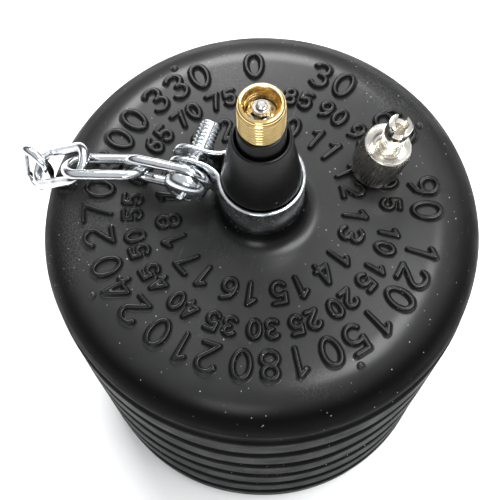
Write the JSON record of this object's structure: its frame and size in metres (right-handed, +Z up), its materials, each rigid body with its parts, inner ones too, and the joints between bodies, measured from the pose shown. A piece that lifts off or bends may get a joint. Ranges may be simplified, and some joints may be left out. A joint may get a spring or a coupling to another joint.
{
  "type": "inflatable pipe plug",
  "caption": "Ribbed rubber pipe plug, let down, with brass tyre valve, neck clamp, chain and knurled valve cap.",
  "frame": {"origin": "centre of the flat base", "axes": "+Z up along the body and the valve; the clamp's ears and the chain point along -X"},
  "size_m": [0.0957, 0.086, 0.1229],
  "materials": {
    "body_rubber": "satin moulded rubber",
    "sleeve_rubber": "smooth rubber",
    "core_rubber": "matt rubber",
    "valve_brass": "bright turned brass",
    "core_brass": "turned brass",
    "core_nickel": "nickel plate",
    "core_steel": "drawn steel wire",
    "zinc_steel": "bright zinc plate",
    "cap_nickel": "nickel plate, knurled"
  },
  "bodies": {
    "plug": {"rubber_body": "body_rubber", "stem_sleeve": "sleeve_rubber", "valve_stem": "valve_brass", "core_plug": "core_nickel", "core_barrel": "core_brass", "core_gasket": "core_rubber", "clamp_band": "zinc_steel", "clamp_screw": "zinc_steel", "valve_cap": "cap_nickel", "cap_seal": "core_rubber"},
    "pin": {"core_pin": "core_steel", "core_cup": "core_brass", "core_seal": "core_rubber", "core_spring": "core_steel"},
    "link_1": {"chain_link_1": "zinc_steel"},
    "link_2": {"chain_link_2": "zinc_steel"},
    "link_3": {"chain_link_3": "zinc_steel"},
    "link_4": {"chain_link_4": "zinc_steel"}
  },
  "joints": [
    {"name": "core_pin_slide", "type": "slide", "parent": "plug", "child": "pin", "axis": [0, 0, -1], "range_m": [0, 0.0012], "stiffness_N_per_m": 400, "springref_m": -0.004, "deforming": ["core_spring"]},
    {"name": "link_1_swing", "type": "hinge", "parent": "plug", "child": "link_1", "pos_m": [-0.013, -0.003, 0.09435], "axis": [0, 1, 0], "range_deg": [0, 80]},
    {"name": "link_2_swing", "type": "hinge", "parent": "link_1", "child": "link_2", "pos_m": [-0.02212, -0.00243, 0.09182], "axis": [0, 1, 0], "range_deg": [0, 40]},
    {"name": "link_3_swing", "type": "hinge", "parent": "link_2", "child": "link_3", "pos_m": [-0.03554, -0.00506, 0.08934], "axis": [0, 1, 0], "range_deg": [0, 20]},
    {"name": "link_4_swing", "type": "hinge", "parent": "link_3", "child": "link_4", "pos_m": [-0.0458, -0.00457, 0.07967], "axis": [0, 1, 0], "range_deg": [0, 30]}
  ]
}
